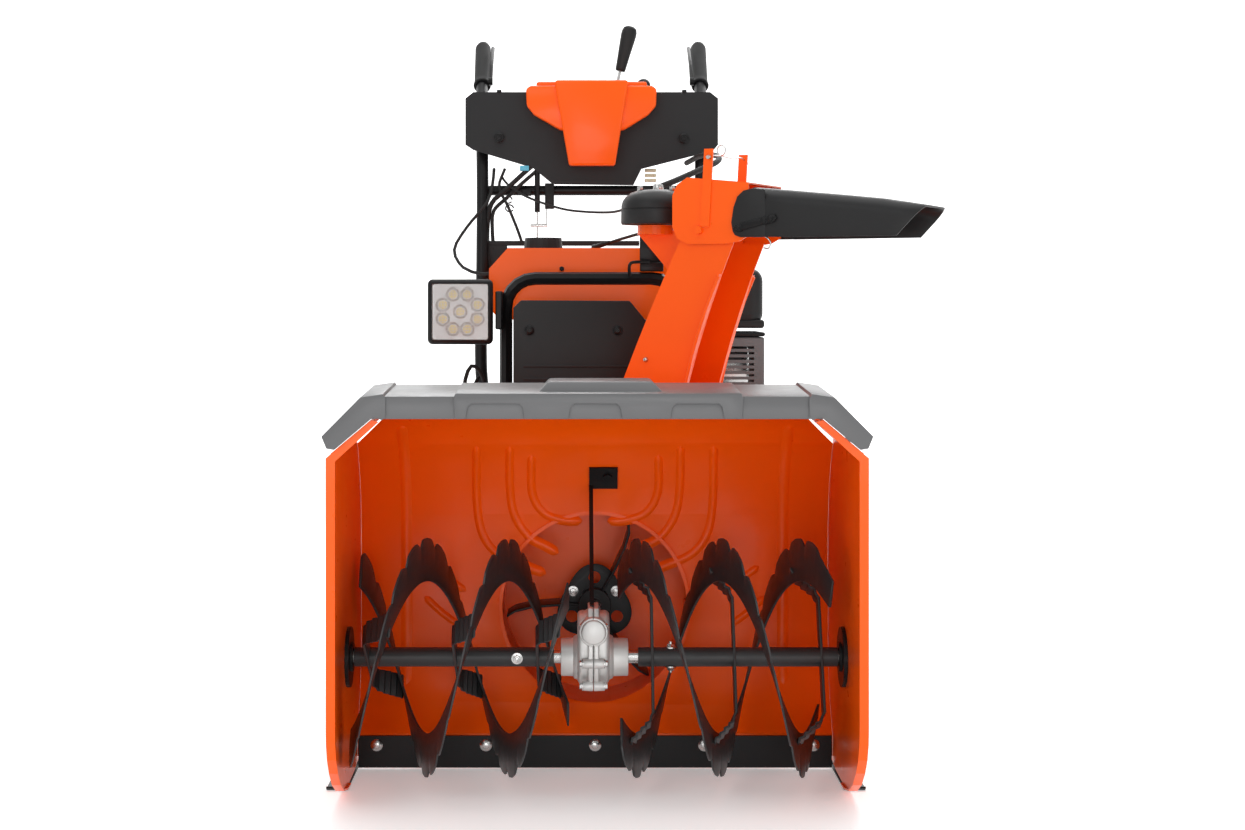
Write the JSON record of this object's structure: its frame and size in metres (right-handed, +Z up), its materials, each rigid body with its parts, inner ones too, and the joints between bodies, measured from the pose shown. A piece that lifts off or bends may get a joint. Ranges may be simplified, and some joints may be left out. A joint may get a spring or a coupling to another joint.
{
  "type": "two stage snowblower",
  "caption": "Walk-behind two stage snowblower on rubber tracks: toothed ribbon auger, impeller, turning chute with tilting hood, engine, lamp and handlebar controls.",
  "frame": {"origin": "on the ground under the middle of the scraper bar's bottom face, at the machine's mid-plane", "axes": "+Z up, +Y from the auger intake back to the handlebar, +X to the operator's left"},
  "size_m": [0.959, 1.3579, 1.2732],
  "materials": {
    "orange_paint": "gloss orange powder coat",
    "black_paint": "satin black paint",
    "grey_plastic": "moulded dark grey plastic",
    "black_plastic": "moulded black plastic",
    "cast_aluminium": "as-cast aluminium",
    "steel": "zinc plated steel",
    "rubber": "matt black rubber",
    "lamp_lens": "clear moulded lens over reflectors"
  },
  "bodies": {
    "machine": {"air_cleaner_cover": "black_plastic", "auger_bearing_left": "black_paint", "auger_bearing_right": "black_paint", "auger_housing": "orange_paint", "belt_cover": "black_plastic", "chassis": "black_paint", "chute_drive_head": "black_plastic", "console": "black_plastic", "console_cover": "orange_paint", "control_panel": "grey_plastic", "drive_belt": "rubber", "engine_block": "cast_aluminium", "engine_cover": "orange_paint", "gearbox_half_left": "cast_aluminium", "gearbox_half_right": "cast_aluminium", "gearbox_strap": "black_paint", "grip_left": "rubber", "grip_right": "rubber", "guard_bar": "black_paint", "handlebar": "black_paint", "housing_cover": "grey_plastic", "impeller_housing": "orange_paint", "muffler_guard": "grey_plastic", "recoil_starter": "black_plastic", "scraper_bar": "black_paint", "side_panel_left": "orange_paint", "side_panel_right": "orange_paint", "skid_shoe_left": "black_paint", "skid_shoe_right": "black_paint", "throttle_cable": "rubber", "track_frame_left": "black_paint", "track_frame_right": "black_paint", "track_left": "rubber", "track_right": "rubber", "transmission": "cast_aluminium"},
    "auger": {"auger_shaft": "steel", "auger_left": "black_paint", "auger_right": "black_paint", "worm_gear": "steel"},
    "impeller_rotor": {"impeller": "black_paint", "impeller_shaft": "steel", "impeller_pulley": "steel"},
    "crankshaft": {"engine_pulley": "steel"},
    "tensioner": {"belt_tensioner": "steel"},
    "axle": {"drive_axle": "steel", "sprocket_left": "black_plastic", "sprocket_right": "black_plastic"},
    "idler_wheel_left": {"idler_left": "black_plastic"},
    "idler_wheel_right": {"idler_right": "black_plastic"},
    "chute_body": {"chute": "orange_paint"},
    "hood": {"chute_hood": "orange_paint"},
    "extension": {"chute_extension": "black_plastic"},
    "lamp": {"work_lamp": "black_paint"},
    "cap": {"fuel_cap": "black_plastic"},
    "starter_pull": {"starter_handle": "black_plastic"},
    "auger_clutch": {"auger_lever": "black_paint"},
    "drive_clutch": {"drive_lever": "black_paint"},
    "speed_control": {"speed_lever": "black_plastic"},
    "chute_control": {"chute_lever": "black_plastic"},
    "deflector_control": {"deflector_lever": "black_plastic"}
  },
  "joints": [
    {"name": "auger_spin", "type": "hinge", "parent": "machine", "child": "auger", "pos_m": [0, -0.145, 0.2], "axis": [1, 0, 0], "continuous": true},
    {"name": "impeller_spin", "type": "hinge", "parent": "machine", "child": "impeller_rotor", "pos_m": [0, 0, 0.245], "axis": [0, 1, 0], "continuous": true},
    {"name": "crankshaft_spin", "type": "hinge", "parent": "machine", "child": "crankshaft", "pos_m": [0, 0.2825, 0.52], "axis": [0, 1, 0], "continuous": true},
    {"name": "tensioner_swing", "type": "hinge", "parent": "machine", "child": "tensioner", "pos_m": [-0.11, 0.295, 0.6], "axis": [0, 1, 0], "range_deg": [-7, 0]},
    {"name": "drive_spin", "type": "hinge", "parent": "machine", "child": "axle", "pos_m": [0, 0.66, 0.105], "axis": [1, 0, 0], "continuous": true},
    {"name": "idler_left_spin", "type": "hinge", "parent": "machine", "child": "idler_wheel_left", "pos_m": [0.25, 0.28, 0.105], "axis": [1, 0, 0], "continuous": true},
    {"name": "idler_right_spin", "type": "hinge", "parent": "machine", "child": "idler_wheel_right", "pos_m": [-0.25, 0.28, 0.105], "axis": [1, 0, 0], "continuous": true},
    {"name": "chute_turn", "type": "hinge", "parent": "machine", "child": "chute_body", "pos_m": [0.1, 0.12, 0.5], "axis": [0, 0, 1], "range_deg": [-165, 35]},
    {"name": "hood_tilt", "type": "hinge", "parent": "chute_body", "child": "hood", "pos_m": [0.19516, 0.07562, 0.845], "axis": [0.4226, 0.9063, 0], "range_deg": [0, 28]},
    {"name": "extension_tilt", "type": "hinge", "parent": "hood", "child": "extension", "pos_m": [0.2586, 0.04604, 0.87], "axis": [0.4226, 0.9063, 0], "range_deg": [0, 12]},
    {"name": "lamp_tilt", "type": "hinge", "parent": "machine", "child": "lamp", "pos_m": [-0.225, 0.262, 0.715], "axis": [1, 0, 0], "range_deg": [-30, 30]},
    {"name": "fuel_cap_turn", "type": "hinge", "parent": "machine", "child": "cap", "pos_m": [-0.089, 0.505, 0.84], "axis": [0, 0, 1], "range_deg": [0, 120]},
    {"name": "starter_pull_out", "type": "slide", "parent": "machine", "child": "starter_pull", "axis": [0, 1, 0], "range_m": [0, 0.1], "stiffness_N_per_m": 20},
    {"name": "auger_lever_squeeze", "type": "hinge", "parent": "machine", "child": "auger_clutch", "pos_m": [-0.198, 0.845, 1.165], "axis": [1, 0, 0], "range_deg": [-12, 0], "stiffness_Nm_per_rad": 2, "springref_deg": 5.73},
    {"name": "drive_lever_squeeze", "type": "hinge", "parent": "machine", "child": "drive_clutch", "pos_m": [0.198, 0.845, 1.165], "axis": [1, 0, 0], "range_deg": [-12, 0], "stiffness_Nm_per_rad": 2, "springref_deg": 5.73},
    {"name": "speed_lever_shift", "type": "hinge", "parent": "machine", "child": "speed_control", "pos_m": [0.045, 0.8, 1.1], "axis": [1, 0, 0], "range_deg": [-20, 20]},
    {"name": "chute_lever_tilt", "type": "hinge", "parent": "machine", "child": "chute_control", "pos_m": [-0.096, 0.8, 1.1], "axis": [0, 1, 0], "range_deg": [-25, 6]},
    {"name": "deflector_lever_tilt", "type": "hinge", "parent": "machine", "child": "deflector_control", "pos_m": [0.1015, 0.8, 1.1], "axis": [1, 0, 0], "range_deg": [0, 28]}
  ],
  "couplings": [
    {"joint": "impeller_spin", "follows": "auger_spin", "ratio": 10},
    {"joint": "idler_left_spin", "follows": "drive_spin", "ratio": 1},
    {"joint": "idler_right_spin", "follows": "drive_spin", "ratio": 1},
    {"joint": "extension_tilt", "follows": "hood_tilt", "ratio": 0.4},
    {"joint": "deflector_lever_tilt", "follows": "hood_tilt", "ratio": 0.75},
    {"joint": "chute_lever_tilt", "follows": "chute_turn", "ratio": 0.15}
  ]
}
